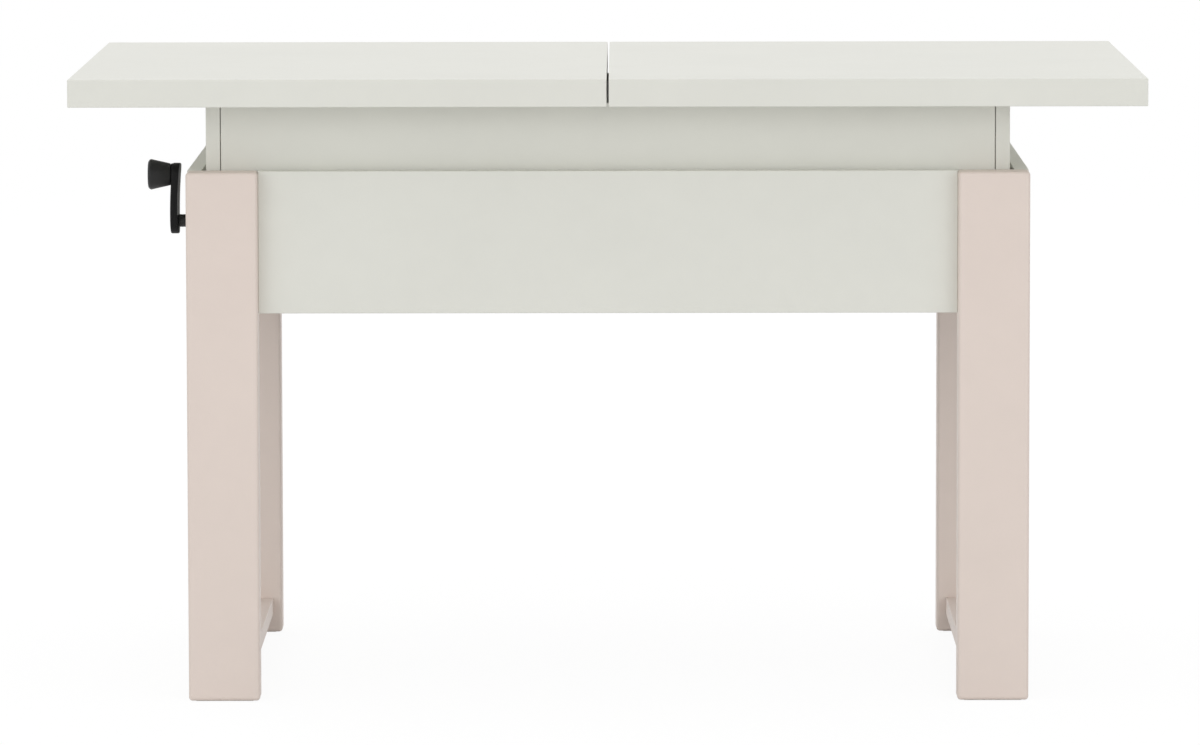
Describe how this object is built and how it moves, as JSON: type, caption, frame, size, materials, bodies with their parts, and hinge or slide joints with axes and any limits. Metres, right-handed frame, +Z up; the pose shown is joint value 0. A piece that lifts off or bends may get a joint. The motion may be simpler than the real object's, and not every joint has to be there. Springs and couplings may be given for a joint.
{
  "type": "extendable coffee table",
  "caption": "Extendable coffee table: a hand crank and scissor lift raise an inner box, the split top slides apart on guides, and a spare leaf lies inside",
  "frame": {"origin": "on the floor, under the middle of the closed top", "axes": "+X along the length away from the crank, +Y to the back, +Z up"},
  "size_m": [1.2, 0.7, 0.7035],
  "materials": {
    "board_lacquer": "satin off-white lacquer",
    "leg_lacquer": "satin pale pink lacquer",
    "black_plastic": "moulded, satin black",
    "zinc_steel": "zinc plated",
    "bright_steel": "turned",
    "nut_brass": "machined",
    "white_nylon": "moulded",
    "guide_aluminium": "drawn, satin",
    "beech": "raw beech",
    "felt": "pressed felt"
  },
  "bodies": {
    "frame": {"leg_front_left": "leg_lacquer", "leg_front_right": "leg_lacquer", "leg_rear_left": "leg_lacquer", "leg_rear_right": "leg_lacquer", "stretcher_left": "leg_lacquer", "stretcher_right": "leg_lacquer", "apron_front": "board_lacquer", "apron_rear": "board_lacquer", "end_panel_left": "board_lacquer", "end_panel_right": "board_lacquer", "frame_dowels": "beech", "stretcher_dowels": "beech", "foot_pads": "white_nylon", "glide_pads": "white_nylon", "base_rails": "zinc_steel", "base_rail_plates": "zinc_steel", "base_cross_members": "zinc_steel", "spindle_bearing": "zinc_steel", "crank_bush": "black_plastic", "base_pivot_ears": "zinc_steel", "base_pivot_shaft": "bright_steel"},
    "lift_box": {"inner_panel_front": "board_lacquer", "inner_panel_rear": "board_lacquer", "inner_end_left": "board_lacquer", "inner_end_right": "board_lacquer", "inner_dowels": "beech", "corner_blocks": "beech", "upper_rails": "zinc_steel", "upper_rail_plates": "zinc_steel", "leaf_felts": "felt", "upper_pivot_ears": "zinc_steel", "upper_pivot_pins": "bright_steel", "guide_rails": "guide_aluminium", "spare_leaf": "board_lacquer"},
    "left_half": {"top_half_left": "board_lacquer", "runners_left": "guide_aluminium"},
    "right_half": {"top_half_right": "board_lacquer", "runners_right": "guide_aluminium"},
    "scissor_inner": {"scissor_arm_inner_front": "zinc_steel", "scissor_arm_inner_rear": "zinc_steel", "centre_shaft": "bright_steel", "upper_roller_pins": "bright_steel"},
    "upper_roller_pair": {"upper_rollers": "white_nylon"},
    "scissor_outer": {"scissor_arm_outer_front": "zinc_steel", "scissor_arm_outer_rear": "zinc_steel", "lower_axle": "bright_steel"},
    "lower_roller_pair": {"lower_rollers": "white_nylon"},
    "nut": {"spindle_nut": "nut_brass"},
    "crank": {"crank_arm": "black_plastic", "lift_spindle": "bright_steel", "thrust_collars": "bright_steel", "crank_roll_pin": "bright_steel", "knob_bolt": "bright_steel"},
    "knob": {"crank_knob": "black_plastic"}
  },
  "joints": [
    {"name": "top_lift", "type": "slide", "parent": "frame", "child": "lift_box", "axis": [0, 0, 1], "range_m": [-0.0735, 0.0465]},
    {"name": "left_half_slide", "type": "slide", "parent": "lift_box", "child": "left_half", "axis": [-1, 0, 0], "range_m": [0, 0.2]},
    {"name": "right_half_slide", "type": "slide", "parent": "lift_box", "child": "right_half", "axis": [1, 0, 0], "range_m": [0, 0.2]},
    {"name": "scissor_inner_swing", "type": "hinge", "parent": "frame", "child": "scissor_inner", "pos_m": [0.3, 0, 0.4738], "axis": [0, 1, 0], "range_deg": [-7.26, 4.63]},
    {"name": "scissor_outer_swing", "type": "hinge", "parent": "scissor_inner", "child": "scissor_outer", "pos_m": [0.00673, 0, 0.537], "axis": [0, 1, 0], "range_deg": [-9.26, 14.52]},
    {"name": "nut_level", "type": "hinge", "parent": "scissor_outer", "child": "nut", "pos_m": [-0.28653, 0, 0.4738], "axis": [0, 1, 0], "range_deg": [-7.26, 4.63]},
    {"name": "crank_turn", "type": "hinge", "parent": "frame", "child": "crank", "pos_m": [-0.5, 0, 0.518], "axis": [1, 0, 0], "range_deg": [-2537.32, 1605.98]},
    {"name": "knob_spin", "type": "hinge", "parent": "crank", "child": "knob", "pos_m": [-0.52, 0, 0.5716], "axis": [1, 0, 0], "continuous": true},
    {"name": "upper_roller_spin", "type": "hinge", "parent": "scissor_inner", "child": "upper_roller_pair", "pos_m": [-0.28653, 0, 0.6002], "axis": [0, 1, 0], "continuous": true},
    {"name": "lower_roller_spin", "type": "hinge", "parent": "scissor_outer", "child": "lower_roller_pair", "pos_m": [-0.28653, 0, 0.4738], "axis": [0, 1, 0], "continuous": true}
  ],
  "couplings": [
    {"joint": "scissor_inner_swing", "follows": "top_lift", "rad_per_m": 1.7003},
    {"joint": "scissor_outer_swing", "follows": "top_lift", "rad_per_m": -3.4005},
    {"joint": "nut_level", "follows": "top_lift", "rad_per_m": 1.7003},
    {"joint": "crank_turn", "follows": "top_lift", "rad_per_m": 602.04}
  ]
}
